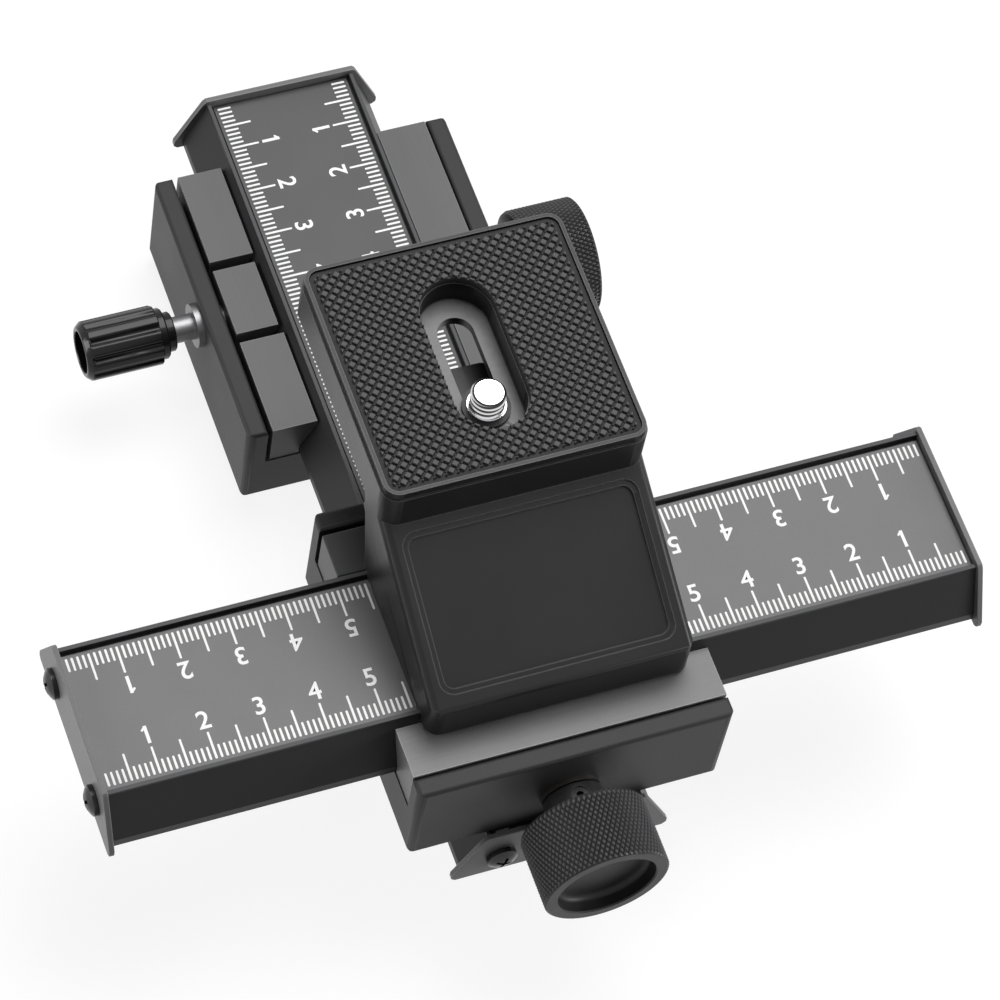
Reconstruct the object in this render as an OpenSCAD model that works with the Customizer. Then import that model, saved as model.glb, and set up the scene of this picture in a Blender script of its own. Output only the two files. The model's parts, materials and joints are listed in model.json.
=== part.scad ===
// Two-axis macro focusing rail: two crossed dovetail slides driven by rack and pinion, with a raised
// camera platform on the upper slide. Millimetres, +Z up. The origin is the middle of the base
// block's underside, +Y runs back along the lower rail and +X runs right along the upper rail.

/* [Pose] */
// Lower rail's middle, measured along Y from the base block's middle
lower_rest = -38.3; // [-50:0.1:50]
// Upper rail's middle, measured along X from the upper block's middle
upper_rest = 0; // [-50:0.1:50]
// Camera screw's place in the slot, 0 at the front end
screw_rest = 0; // [0:0.1:15]

/* [Carriage blocks] */
// Side of each square carriage block
block_w = 58; // [50:0.5:70]
// Height of each carriage block
block_h = 21.5; // [21:0.5:26]
// Thickness of the floor under the rail
floor_h = 11.4; // [11:0.1:11.4]
// Thickness of the outer side walls
wall_t = 3.8; // [3:0.1:4.5]
// Length of the sprung brake shoe between the two short guides
brake_len = 14.3; // [10:0.1:20]
// Gap between the brake shoe and each guide beside it
brake_gap = 1.9; // [1:0.1:3]
// Travel of the brake shoe when the lock knob is tightened
brake_travel = 0.4; // [0.2:0.05:0.5]

/* [Rails] */
// Length of each rail between its end plates
rail_len = 160; // [130:1:220]
// Width over the two lips on top of the rail
lip_w = 29; // [27:0.5:30]
// Width across the foot of the dovetail
foot_w = 37; // [36:0.5:38]
// Height of the lips above the scale
lip_h = 1.1; // [0.8:0.1:1.5]
// Thickness of the end plates
plate_t = 1; // [0.8:0.1:2]

/* [Rack and pinion] */
// Module of the rack and pinion
gear_m = 0.8; // [0.8:0.05:0.8]
// Number of teeth on the pinion
pinion_n = 10; // [10:1:10]
// Bare length of rail past each end of the rack
rack_end = 5; // [1:0.5:20]

/* [Tripod sockets] */
// Distance of each tripod socket from the middle of the base block
tripod_y = 15; // [13:0.5:20]
// Depth of the tripod sockets
tripod_len = 9; // [7:0.1:10]

/* [Drive knobs] */
// Diameter of the drive knobs
knob_d = 23; // [18:0.5:28]
// Length of the knurled barrel
knob_len = 13.4; // [10:0.1:18]
// Diameter of the neck between block and knob
neck_d = 11; // [10:0.5:13]
// Length of the neck between block and knob
neck_len = 5.7; // [4:0.1:8]
// Depth of the dish in the knob's outer end
dish_depth = 5; // [2:0.5:8]

/* [Lock knobs] */
// Diameter over the ribs of the lock knobs
lock_d = 13; // [10:0.5:16]
// Length of the ribbed lock knobs
lock_len = 16; // [12:0.5:22]
// Number of flutes round a lock knob
flute_n = 10; // [6:1:14]

/* [Camera platform] */
// Width of the casting along the upper rail
cast_w = 48.4; // [44:0.2:54]
// Length of the raised platform from front to back
plat_len = 48; // [46:0.5:50]
// Height of the platform's rim above the upper scale
plat_h = 30; // [28:0.5:36]
// Depth of the platform's skirt
skirt_h = 10.5; // [9:0.5:12]
// Wall thickness of the casting
cast_t = 2.4; // [2:0.1:3]
// Width of the slot that the camera screw's slider runs in
slot_w = 6.6; // [6.4:0.1:7.4]
// Length of the slot
slot_len = 22.4; // [20:0.2:25]
// Thickness of the rubber pad, with its studs
pad_t = 1.8; // [1.2:0.1:2.4]

/* [Hidden] */
$fn = 64;
half = block_w / 2;
edge_r = 0.8;
corner_r = 1.6;
// Plane of a rail's printed scale above the bottom of its block
scale_rise = 1.1;
scale_z = block_h + scale_rise;
scale_t = 0.3;
scale_gap = 1;
lip_t = 0.75;
recess_w = lip_w - 2 * lip_t;
scale_w = recess_w - scale_gap;
rail_top = scale_z + lip_h;
rail_bot = floor_h + 0.3;
foot_h = 2;
flank_bot = rail_bot + foot_h;
flank_top = scale_z + 0.5;
flank_h = flank_top - flank_bot;
flank_k = (foot_w - lip_w) / 2 / flank_h;
relief_x = 9.6;
relief_w = 7.8;
relief_d = 0.6;
rack_len = rail_len - 2 * rack_end;
// Running clearances: dovetail flank, shaft in its bore
run = 0.09;
fit = 0.05;
// Upper block's place: it stands on the lips of the lower rail, just behind the front plate
stage_z = rail_top;
stage_y = lower_rest - rail_len / 2 + half + 0.7;
// Rack and pinion
pitch_r = gear_m * pinion_n / 2;
tooth_p = PI * gear_m;
drive_z = rail_bot + 0.5 - pitch_r;
pitch_z = drive_z + pitch_r;
outer_r = pitch_r + gear_m;
root_r = pitch_r - 0.7;
rack_tip = pitch_z - 0.45;
rack_root = pitch_z + gear_m + 0.15;
rack_back = 2;
rack_top = rack_root + rack_back;
pocket_gap = 0.8;
journal_x = 10.7;
rack_w = 6;
backlash = 0.1;
pinion_w = rack_w - 0.6;
shaft_d = 5;
journal_d = 4;
bush_d = 9;
flange_t = 0.8;
// Lock screw and plate screws
lock_z = scale_z - 6.7;
boss_d = 8.4;
boss_t = 1.2;
stem_d = 3.6;
collar_d = 8.2;
lock_gap = 4;
collar_len = 1.6;
lock_dish = 7;
collar_x = -half - boss_t - lock_gap;
stem_x = collar_x - collar_len - lock_len + lock_dish + 1.8;
lock_screw_d = 5;
// Groove behind the guides on the lock side, and how far the screw's tip enters the shoe
groove_w = 0.9;
tip_x = -half + wall_t + groove_w + 0.7;
insert_d = 7;
plate_screw_y = 11.6;
plate_screw_z = -5.7;
// Guide screws under each block, midway across their guides
guide_y0 = brake_len / 2 + brake_gap;
guide_screw_x = (foot_w / 2 + half - wall_t) / 2;
guide_screw_d = 3;
guide_head_d = 5.5;
guide_end = 6;
guide_screw_ys = [guide_end - half, -guide_y0 - 3, guide_y0 + 3, half - guide_end];
// Bolts that hold the upper block and the casting to their rails
bolt_d = 4;
head_d = 7;
head_h = 3.6;
hex_w = 3.4;
block_bolt_x = 15;
block_bolt_y = 9;
block_bolt_len = 14;
block_seat = floor_h - head_h - 0.4;
cast_bolt_x = 14;
cast_bolt_y = 9.3;
cast_bolt_len = 12;
cast_seat = rail_bot - scale_z + head_h + 0.8;
block_bolts = [for (x = [-1, 1], y = [-1, 1]) [x * block_bolt_x, y * block_bolt_y]];
cast_bolts = [for (x = [-1, 1], y = [-1, 1]) [x * cast_bolt_x, y * cast_bolt_y]];
// Tripod sockets: bore and outside diameter
quarter_d = 6.4;
quarter_od = 9.6;
eighths_d = 9.6;
eighths_od = 13;
// Casting, in a frame at the middle of the upper scale: y across the rail, z up from the scale
nose_y = -18.8;
nose_z = 8;
slope_y1 = 11.3;
slope_z1 = plat_h - 9.6;
slope_a = atan((slope_z1 - nose_z) / (slope_y1 - nose_y - 1));
slope_len = (slope_y1 - nose_y - 1) / cos(slope_a);
panel_in = 2.7;
panel_end = 1.55;
panel_step = 1;
back_y = 15.2;
back_k = 0.257;
heel_r = 2.5;
plat_y0 = 11.5;
plat_yc = plat_y0 + plat_len / 2;
plat_y1 = plat_y0 + plat_len;
plat_r = 3.2;
rim_step = 1.6;
rim_in = 0.4;
rim_t = 0.75;
body_z = plat_h - rim_step;
bed_w = cast_w - 2 * (rim_in + rim_t);
bed_len = plat_len - 2 * (rim_in + rim_t);
stud_h = 0.6;
stud_edge = 0.9;
pad_top = plat_h + 0.1;
pad_floor = pad_top - pad_t;
cup_floor = plat_h - 6.5;
cup_under = cup_floor - 2;
skirt_z = plat_h - skirt_h;
cup_w = 13;
cup_len = 30.5;
// Camera screw
screw_d = 6.35;
screw_neck = 4.9;
screw_top = plat_h - 1;
screw_lift = 5.3;
bush_flange_d = 8.6;
bush_top = cup_floor + 0.85;
clip_t = 0.5;
thumb_d = 14;
thumb_h = 3.4;
screw_y = plat_yc - slot_len / 2 + slot_w / 2 + 0.1 + screw_rest;

black = [0.07, 0.07, 0.07];
grey = [0.42, 0.42, 0.43];
steel = [0.72, 0.72, 0.74];
brass = [0.75, 0.6, 0.3];

// Rail half-width at a height above its block's bottom
function flank_x(z) = lip_w / 2 + (flank_top - z) * flank_k;
function polar(r, a) = [r * cos(a), r * sin(a)];
// Involute of the pinion's base circle, as an angle at radius r
function inv_deg(r, rb) = r <= rb ? 0 : sqrt(r * r / rb / rb - 1) * 180 / PI - acos(rb / r);

// Plan of a rectangle with round corners, made of exact arcs
module round_rect(w, h, r)
{
    square([w - 2 * r, h], center = true);
    square([w, h - 2 * r], center = true);
    for (x = [-1, 1], y = [-1, 1])
        translate([x * (w / 2 - r), y * (h / 2 - r)])
            circle(r);
}

// Obround plan, long axis along Y
module obround(w, len)
{
    square([w, len - w], center = true);
    for (s = [-1, 1])
        translate([0, s * (len - w) / 2])
            circle(d = w);
}

// Extrude an x-z outline along Y, centred
module along_y(len)
{
    rotate([90, 0, 0])
        linear_extrude(len, center = true)
            children();
}

// Extrude a y-z outline along X, centred
module along_x(len)
{
    rotate([90, 0, 90])
        linear_extrude(len, center = true)
            children();
}

module rod_x(d, x0, x1)
{
    translate([x0, 0, 0])
        rotate([0, 90, 0])
            cylinder(d = d, h = x1 - x0);
}

// Put a stage's piece in the upper stage: its slide then runs along X and its knob points to the front
module upper_stage()
{
    translate([0, stage_y, stage_z])
        rotate([0, 0, -90])
            children();
}

module lower_slide()
{
    translate([0, lower_rest, 0])
        children();
}

module upper_slide()
{
    upper_stage()
        translate([0, upper_rest, 0])
            children();
}

// Frame of the casting: the middle of the upper scale, with the same axes as the part
module cast_frame()
{
    translate([upper_rest, stage_y, stage_z + scale_z])
        children();
}

/* ---- carriage block, its slide along Y, its knob towards +X ---- */

// One side wall with a rolled top edge, centred on its thickness
module wall_outline()
{
    translate([-wall_t / 2, 1])
        square([wall_t, block_h - 1 - edge_r]);
    translate([edge_r - wall_t / 2, 1])
        square([wall_t - 2 * edge_r, block_h - 1]);
    for (e = [-1, 1])
        translate([e * (wall_t / 2 - edge_r), block_h - edge_r])
            circle(edge_r);
}

// Floor and side walls, seen along the slide
module block_section()
{
    translate([0, floor_h / 2])
        round_rect(block_w, floor_h, edge_r);
    translate([-half, edge_r])
        square([block_w, floor_h - edge_r]);
    for (s = [-1, 1])
        translate([s * (half - wall_t / 2), 0])
            wall_outline();
}

module block_shell()
{
    intersection()
    {
        along_y(block_w + 2)
            block_section();
        along_x(block_w + 2)
            translate([0, block_h / 2])
                round_rect(block_w, block_h, edge_r);
        translate([0, 0, -1])
            linear_extrude(block_h + 2)
                round_rect(block_w, block_w, corner_r);
    }
}

module block_cuts()
{
    // pinion pocket, inner journal, shaft way and bush bore
    pocket = outer_r + pocket_gap;
    px = pinion_w / 2 + 2.5;
    translate([-px, -pocket, drive_z - outer_r - 0.5])
        cube([2 * px, 2 * pocket, floor_h]);
    translate([0, 0, drive_z])
    {
        rod_x(journal_d + 2 * fit, -journal_x - 0.3, -px + 0.2);
        rod_x(shaft_d + 0.6, px - 0.2, half - wall_t + 0.1);
        rod_x(bush_d, half - wall_t, half + 1);
    }
    // threaded insert of the lock screw
    translate([0, 0, lock_z])
        rod_x(insert_d, -half - 1, -half + wall_t + 1);
    // guide screws, sunk in the underside
    for (s = [-1, 1], y = guide_screw_ys)
        translate([s * guide_screw_x, y, -1])
        {
            cylinder(d = guide_screw_d, h = floor_h + 2);
            cylinder(d = guide_head_d + 0.5, h = 4.2);
        }
}

// Fixed guide beside the knob: one strip with an undercut inner face
module fixed_guide()
{
    difference()
    {
        along_y(block_w - 0.4)
            polygon([
                [half - wall_t - 0.3, floor_h],
                [half - wall_t - 0.3, block_h],
                [flank_x(block_h) + run, block_h],
                [flank_x(flank_bot) + run, flank_bot],
                [flank_x(flank_bot) + run, floor_h]
            ]);
        guide_holes(1, guide_screw_ys);
    }
}

// Guide section on the lock side; it is set back by off from the rail's flank
module shoe(len, off)
{
    edge_z = block_h - 1.2;
    along_y(len)
        polygon([
            [-(half - wall_t - groove_w), floor_h],
            [-(half - wall_t - groove_w), block_h],
            [-(flank_x(edge_z) + run + off), block_h],
            [-(flank_x(edge_z) + run + off), edge_z],
            [-(flank_x(flank_bot) + run + off), flank_bot],
            [-(flank_x(flank_bot) + run + off), floor_h]
        ]);
}

module guide_holes(side, ys)
{
    for (y = ys)
        translate([side * guide_screw_x, y, floor_h - 1])
            cylinder(d = guide_screw_d, h = 7);
}

module short_guide(side)
{
    y1 = half - 0.2;
    difference()
    {
        translate([0, side * (guide_y0 + y1) / 2, 0])
            shoe(y1 - guide_y0, 0);
        guide_holes(-1, [for (y = guide_screw_ys) if (y * side > 0) y]);
    }
}

module brake_shoe()
{
    difference()
    {
        translate([0, 0, 0.02])
            shoe(brake_len, brake_travel - 0.04);
        // shallow socket that the screw's tip turns in
        translate([0, 0, lock_z])
            rod_x(lock_screw_d + 2 * fit, -half, tip_x + 0.1);
    }
}

module guide_screws()
{
    for (s = [-1, 1], y = guide_screw_ys)
        translate([s * guide_screw_x, y, 0])
            difference()
            {
                union()
                {
                    translate([0, 0, 0.6])
                        cylinder(d = guide_head_d, h = 2.6);
                    cylinder_up(guide_screw_d, 3.2, floor_h + 5);
                }
                translate([0, 0, 0.4])
                    cylinder(d = 2.5, h = 1.6, $fn = 6);
            }
}

module cylinder_up(d, z0, z1)
{
    translate([0, 0, z0])
        cylinder(d = d, h = z1 - z0);
}

module lock_boss()
{
    translate([0, 0, lock_z])
        difference()
        {
            union()
            {
                rod_x(boss_d, -half - boss_t, -half);
                rod_x(insert_d, -half, -half + wall_t);
            }
            rod_x(lock_screw_d + 2 * fit, -half - 3, -half + wall_t + 1);
        }
}

// Steel stem of the lock knob; its tip turns in the brake shoe
module lock_screw()
{
    translate([0, 0, lock_z])
    {
        rod_x(lock_screw_d, collar_x, tip_x);
        rod_x(stem_d, stem_x, collar_x);
    }
}

// Fluted knob with a short collar; the outer end is dished
module lock_knob()
{
    x0 = collar_x - collar_len;
    translate([0, 0, lock_z])
        difference()
        {
            union()
            {
                rod_x(collar_d, x0, collar_x);
                rod_x(lock_d, x0 - lock_len + 1.4, x0);
                translate([x0 - lock_len, 0, 0])
                    rotate([0, 90, 0])
                        cylinder(d1 = lock_d - 2.6, d2 = lock_d, h = 1.4);
            }
            for (i = [0 : flute_n - 1])
                rotate([(i + 0.5) * 360 / flute_n, 0, 0])
                    translate([0, 0, lock_d / 2 + 0.55])
                        rod_x(2.6, x0 - lock_len + 1.6, x0 + 0.01);
            rod_x(stem_d, stem_x, collar_x + 0.2);
            rod_x(lock_d - 4.4, x0 - lock_len - 1, x0 - lock_len + lock_dish);
        }
}

module pinion_bush()
{
    translate([0, 0, drive_z])
        difference()
        {
            union()
            {
                rod_x(bush_d, half - wall_t, half);
                rod_x(bush_d + 2, half, half + flange_t);
            }
            rod_x(shaft_d + 2 * fit, half - wall_t - 1, half + 2);
        }
}

// Pinion tooth flank points, from the base circle out to the tip
function flank_pts(side) = [
    for (i = [0 : 6])
        let (
            rb = pitch_r * cos(20),
            r = rb + (outer_r - rb) * i / 6,
            at_pitch = 90 / pinion_n - backlash / 2 / pitch_r * 180 / PI,
            a = at_pitch + inv_deg(pitch_r, rb) - inv_deg(r, rb)
        )
            polar(r, 90 + side * a)
];

module pinion_tooth()
{
    left = flank_pts(1);
    right = flank_pts(-1);
    polygon(concat(
        [polar(root_r - 0.4, 90 + 7)],
        left,
        [for (i = [6 : -1 : 0]) right[i]],
        [polar(root_r - 0.4, 90 - 7)]
    ));
}

// Pinion and shaft in one piece: journal, gear, shaft
module pinion_shaft()
{
    translate([0, 0, drive_z])
    {
        rotate([90, 0, 90])
            linear_extrude(pinion_w, center = true)
            {
                circle(root_r);
                for (i = [0 : pinion_n - 1])
                    rotate(i * 360 / pinion_n)
                        pinion_tooth();
            }
        rod_x(journal_d, -journal_x, 1 - pinion_w / 2);
        rod_x(shaft_d, pinion_w / 2 - 1, half + neck_len + knob_len - dish_depth - 1.5);
    }
}

// Deeply dished knob with a neck; the barrel's edges are eased
module drive_knob()
{
    r = knob_d / 2;
    x0 = half + neck_len;
    x1 = x0 + knob_len;
    translate([0, 0, drive_z])
        rotate([0, 90, 0])
            difference()
            {
                rotate_extrude($fn = 96)
                    polygon([
                        [shaft_d / 2, half + flange_t + 0.1],
                        [neck_d / 2 - 0.3, half + flange_t + 0.1],
                        [neck_d / 2, half + flange_t + 0.4],
                        [neck_d / 2, x0],
                        [r - 1.2, x0],
                        [r - 0.35, x0 + 0.3],
                        [r, x0 + 1.1],
                        [r, x1 - 0.4],
                        [r - 0.4, x1],
                        [r - 2.2, x1],
                        [r - 2.5, x1 - 0.3],
                        [r - 2.5, x1 - dish_depth],
                        [0, x1 - dish_depth],
                        [0, x1 - dish_depth - 1.5],
                        [shaft_d / 2, x1 - dish_depth - 1.5]
                    ]);
                // grub screw hole through the neck
                translate([0, 0, half + 3.4])
                    rotate([0, -90, 0])
                        cylinder(d = 3, h = neck_d);
            }
}

module knob_grub()
{
    translate([half + 3.4, 0, drive_z])
        difference()
        {
            cylinder_up(3, shaft_d / 2, neck_d / 2 - 0.3);
            cylinder_up(1.5, neck_d / 2 - 1.4, neck_d / 2, $fn = 6);
        }
}

/* ---- rail, along Y, centred, heights from its block's bottom ---- */

module rail_section()
{
    difference()
    {
        polygon([
            [-foot_w / 2, rail_bot],
            [foot_w / 2, rail_bot],
            [foot_w / 2, flank_bot],
            [lip_w / 2, flank_top],
            [lip_w / 2, rail_top],
            [-lip_w / 2, rail_top],
            [-lip_w / 2, flank_top],
            [-foot_w / 2, flank_bot]
        ]);
        translate([-recess_w / 2, scale_z - scale_t])
            square([recess_w, 5]);
        translate([-rack_w / 2, rail_bot - 1])
            square([rack_w, rack_top - rail_bot + 1]);
        for (s = [-1, 1])
            translate([s * relief_x - relief_w / 2, rail_bot - 1])
                square([relief_w, relief_d + 1]);
    }
}

module rail_blank()
{
    difference()
    {
        along_y(rail_len)
            rail_section();
        for (x = [-1, 1], e = [-1, 1])
            translate([x * plate_screw_y, e * (rail_len / 2 - 5.5), scale_z + plate_screw_z])
                rotate([90, 0, 0])
                    cylinder(d = 2.6, h = 13, center = true);
    }
}

// Straight rack tooth outlines above the pitch line; a space lies at 0 when shift is 0
module rack_outline(len, shift)
{
    n = floor(len / tooth_p / 2) - 1;
    slope = tan(20);
    half_t = tooth_p / 4 - backlash / 2;
    top_w = half_t + slope * (rack_root - pitch_z);
    tip_w = half_t - slope * (pitch_z - rack_tip);
    translate([-len / 2, rack_root])
        square([len, rack_top - rack_root]);
    for (i = [-n : n - 1])
        translate([(i + 0.5) * tooth_p + shift, 0])
            polygon([
                [-top_w, rack_root + 0.1],
                [-top_w, rack_root],
                [-tip_w, rack_tip],
                [tip_w, rack_tip],
                [top_w, rack_root],
                [top_w, rack_root + 0.1]
            ]);
}

// Rack under the rail; its teeth stay in mesh with the pinion at the block's middle
module rack(rest)
{
    shift = -rest - tooth_p * round(-rest / tooth_p);
    along_x(rack_w)
        rack_outline(rack_len, shift);
}

module scale_strip()
{
    translate([0, 0, scale_z - scale_t])
        linear_extrude(scale_t)
            square([scale_w, rail_len - 0.4], center = true);
}

// End plate outline, y-z seen along the rail, from the scale's plane
module plate_outline()
{
    top = lip_h + 0.8;
    base = rail_bot - scale_z - 0.4;
    w0 = lip_w / 2 + 0.1;
    w1 = foot_w / 2 + 1.85;
    right = [[w0, top], [w0 + 0.6, top - 0.6], [w1, base + 1.9], [w1, base + 0.7], [w1 - 0.75, base]];
    difference()
    {
        polygon(concat(right, [for (i = [4 : -1 : 0]) [-right[i][0], right[i][1]]]));
        for (s = [-1, 1])
            translate([s * plate_screw_y, plate_screw_z])
                circle(d = 2.9);
    }
}

module end_plate(side)
{
    translate([0, side * (rail_len + plate_t) / 2, scale_z])
        along_y(plate_t)
            plate_outline();
}

// Pan-head cross screw pointing along -Y from its head
module pan_screw()
{
    rotate([-90, 0, 0])
        difference()
        {
            union()
            {
                intersection()
                {
                    cylinder(d = 5.6, h = 1.9);
                    translate([0, 0, -2.6])
                        sphere(4.5);
                }
                translate([0, 0, -9])
                    cylinder(d = 2.6, h = 9);
            }
            for (a = [0, 90])
                rotate(a)
                    translate([-1.5, -0.3, 0.9])
                        cube([3, 0.6, 2]);
        }
}

module plate_screws()
{
    for (x = [-1, 1], e = [0, 180])
        rotate(e)
            translate([x * plate_screw_y, rail_len / 2 + plate_t, scale_z + plate_screw_z])
                rotate([0, 20 + 50 * x, 0])
                    pan_screw();
}

/* ---- bolts ---- */

// Socket-head bolt with its seat at z = 0 and its shank towards -Z
module cap_bolt(len)
{
    difference()
    {
        union()
        {
            cylinder_up(head_d, 0, head_h);
            cylinder_up(bolt_d, -len, 0.1);
        }
        cylinder_up(hex_w, head_h - 2, head_h + 1, $fn = 6);
    }
}

module block_bolt_set()
{
    for (p = block_bolts)
        translate([p[0], p[1], block_seat])
            cap_bolt(block_bolt_len);
}

module cast_bolt_set()
{
    for (p = cast_bolts)
        translate([p[0], p[1], cast_seat])
            mirror([0, 0, 1])
                cap_bolt(cast_bolt_len);
}

/* ---- camera platform casting ---- */

// Height of the sloping face at a place across the rail
function slope_z(y) = slope_z1 + (y - slope_y1) * tan(slope_a);
// Place of the riser's back at a height
function heel_y(z) = back_y + (z - lip_h) * back_k;

// Side view of the lower body, filled up to the underside of the table
module riser_outline()
{
    r = 1.4;
    heel_cy = heel_y(skirt_z - heel_r) + heel_r * sqrt(1 + back_k * back_k);
    nose_cz = slope_z(nose_y + r) - r / cos(slope_a);
    polygon([
        [nose_y, -0.4],
        [nose_y, nose_cz],
        [nose_y + r, nose_cz],
        [nose_y + r * (1 - sin(slope_a)), nose_cz + r * cos(slope_a)],
        [slope_y1, slope_z1],
        [slope_y1 + 2, slope_z1 + 2],
        [heel_cy, slope_z1 + 2],
        [heel_cy, skirt_z],
        [heel_y(skirt_z), skirt_z],
        [back_y, lip_h],
        [back_y, -0.4]
    ]);
    translate([nose_y + r, nose_cz])
        circle(r);
    // hollow curve from the riser into the skirt
    difference()
    {
        polygon([
            [heel_y(skirt_z) - 1, skirt_z],
            [heel_cy, skirt_z],
            [heel_cy, skirt_z - heel_r],
            [heel_y(skirt_z - 2 * heel_r), skirt_z - 2 * heel_r]
        ]);
        translate([heel_cy, skirt_z - heel_r])
            circle(heel_r);
    }
}

// Lower body with round front corners and round shoulders along the slope
module riser_solid()
{
    intersection()
    {
        along_x(cast_w)
            riser_outline();
        translate([0, (nose_y + plat_yc) / 2, -1])
            linear_extrude(plat_h)
                round_rect(cast_w, plat_yc - nose_y, 2.6);
        translate([0, slope_y1, slope_z1])
            rotate([slope_a - 90, 0, 0])
                linear_extrude(4 * plat_h, center = true)
                    translate([0, plat_h])
                        round_rect(cast_w, 2 * plat_h, 1.7);
    }
}

// Raised table: round corners, and a rim set in by a fine step
module table_solid()
{
    translate([0, plat_yc, skirt_z])
        linear_extrude(skirt_h - rim_step)
            round_rect(cast_w, plat_len, plat_r);
    translate([0, plat_yc, body_z - 1])
        linear_extrude(rim_step + 1)
            round_rect(cast_w - 2 * rim_in, plat_len - 2 * rim_in, plat_r - rim_in);
}

// Hollow inside the riser, open at the foot
module riser_hollow()
{
    y0 = nose_y + cast_t;
    y1 = slope_y1;
    drop = cast_t / cos(slope_a);
    along_x(cast_w - 2 * cast_t)
        polygon([
            [y0, -1],
            [y0, slope_z(y0) - drop],
            [y1, slope_z(y1) - drop],
            [heel_y(slope_z(y1) - drop) - cast_t, slope_z(y1) - drop],
            [heel_y(lip_h) - cast_t, lip_h],
            [heel_y(lip_h) - cast_t, -1]
        ]);
}

// Space under the table, between its skirts
module table_hollow()
{
    y0 = heel_y(skirt_z);
    y1 = plat_y1 - cast_t;
    translate([0, (y0 + y1) / 2, skirt_z - 6])
        linear_extrude(pad_floor - cast_t - skirt_z + 6)
            square([cast_w - 2 * cast_t, y1 - y0], center = true);
}

// Seats over the two lips and the scale of the rail
module rail_seat()
{
    w = cast_w + 2;
    inner = recess_w / 2 - 0.1;
    front = flank_x(scale_z - 0.4) + 0.2;
    translate([-w / 2, -inner, -3])
        cube([w, 2 * inner, 3]);
    translate([-w / 2, -front, -3])
        cube([w, front - inner, lip_h + 3]);
    translate([-w / 2, inner, -3])
        cube([w, 9, lip_h + 3]);
}

module panel_plan(inset)
{
    w = cast_w - 2 * (panel_in + inset);
    len = slope_len - 2 * (panel_end + inset);
    round_rect(w, len, 2.6 - 0.8 * inset);
}

module casting()
{
    difference()
    {
        union()
        {
            difference()
            {
                union()
                {
                    table_solid();
                    riser_solid();
                }
                riser_hollow();
                table_hollow();
            }
            // cup under the slot, carried by the table
            translate([0, plat_yc, cup_under])
                linear_extrude(pad_floor - 0.5 - cup_under)
                    obround(cup_w + 3.6, cup_len + 3.6);
            // bosses for the bolts that come up through the rail
            intersection()
            {
                along_x(cast_w - 1)
                    riser_outline();
                for (p = cast_bolts)
                    translate([p[0], p[1], 0])
                        cylinder_up(8.4, 0, slope_z(p[1]) - 1.8);
            }
        }
        // bed of the rubber pad, the cup and the slot
        translate([0, plat_yc, pad_floor])
            linear_extrude(5)
                round_rect(bed_w, bed_len, plat_r - rim_in - rim_t);
        translate([0, plat_yc, cup_floor])
            linear_extrude(10)
                obround(cup_w, cup_len);
        translate([0, plat_yc, cup_under - 1])
            linear_extrude(10)
                obround(slot_w, slot_len);
        // plain sloping panel, sunk in two steps
        translate([0, (nose_y + 1 + slope_y1) / 2, (nose_z + slope_z1) / 2])
            rotate([slope_a, 0, 0])
            {
                translate([0, 0, -0.4])
                    linear_extrude(3)
                        panel_plan(0);
                translate([0, 0, -1])
                    linear_extrude(3)
                        panel_plan(panel_step);
            }
        rail_seat();
        for (p = cast_bolts)
            translate([p[0], p[1], 0])
                cylinder_up(bolt_d, -1, 6.5);
    }
}

// Rubber sheet with a raised studded field and an obround hole
module rubber_pad()
{
    r = plat_r - rim_in - rim_t - 0.1;
    difference()
    {
        translate([0, plat_yc, pad_floor])
        {
            linear_extrude(pad_t - stud_h)
                round_rect(bed_w - 0.2, bed_len - 0.2, r);
            linear_extrude(pad_t)
                round_rect(bed_w - 0.2 - 2 * stud_edge, bed_len - 0.2 - 2 * stud_edge, r - 0.9);
        }
        translate([0, plat_yc, pad_floor - 1])
            linear_extrude(pad_t + 2)
                obround(cup_w + 0.6, cup_len + 0.6);
    }
}

// Flanged bush that guides the screw's neck along the slot; its flange rests on the cup's floor
module neck_bush()
{
    translate([0, screw_y, 0])
        difference()
        {
            union()
            {
                cylinder_up(slot_w - 0.2, cup_under + 0.2, cup_floor + 0.5);
                cylinder_up(bush_flange_d, cup_floor + 0.05, bush_top);
            }
            cylinder_up(screw_neck + 2 * fit, cup_under - 1, bush_top + 1);
        }
}

// Retaining clip in the groove under the thread; it lifts with the screw
module neck_clip()
{
    translate([0, screw_y, 0])
        difference()
        {
            cylinder_up(screw_d + 0.6, bush_top + 0.05, bush_top + 0.05 + clip_t);
            cylinder_up(screw_neck + 2 * fit, bush_top - 1, bush_top + 2);
        }
}

// Thread, neck and thumb head in one; it hangs low at rest and lifts into the camera
module camera_screw()
{
    head_z = cup_under - screw_lift - 0.1;
    thread_z = bush_top + clip_t + 0.1;
    translate([0, screw_y, 0])
        difference()
        {
            union()
            {
                cylinder_up(screw_d, thread_z, screw_top - 0.6);
                translate([0, 0, screw_top - 0.6])
                    cylinder(d1 = screw_d, d2 = screw_d - 1.2, h = 0.6);
                cylinder_up(screw_neck, head_z - 1, thread_z + 0.1);
                cylinder_up(thumb_d, head_z - thumb_h, head_z);
            }
            // coin slot under the head
            translate([-thumb_d, -0.75, head_z - thumb_h - 1])
                cube([2 * thumb_d, 1.5, 2.4]);
        }
}

/* ---- tripod sockets of the base ---- */

module tripod_bush(y, d, od)
{
    translate([0, y, 0])
        difference()
        {
            cylinder_up(od, 0, tripod_len);
            cylinder_up(d, -1, tripod_len + 1);
        }
}

/* ---- nodes ---- */

module base_block()
{
    color(black)
        difference()
        {
            block_shell();
            block_cuts();
            translate([0, tripod_y, 0])
                cylinder_up(quarter_od, -1, tripod_len);
            translate([0, -tripod_y, 0])
                cylinder_up(eighths_od, -1, tripod_len);
        }
}

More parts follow.
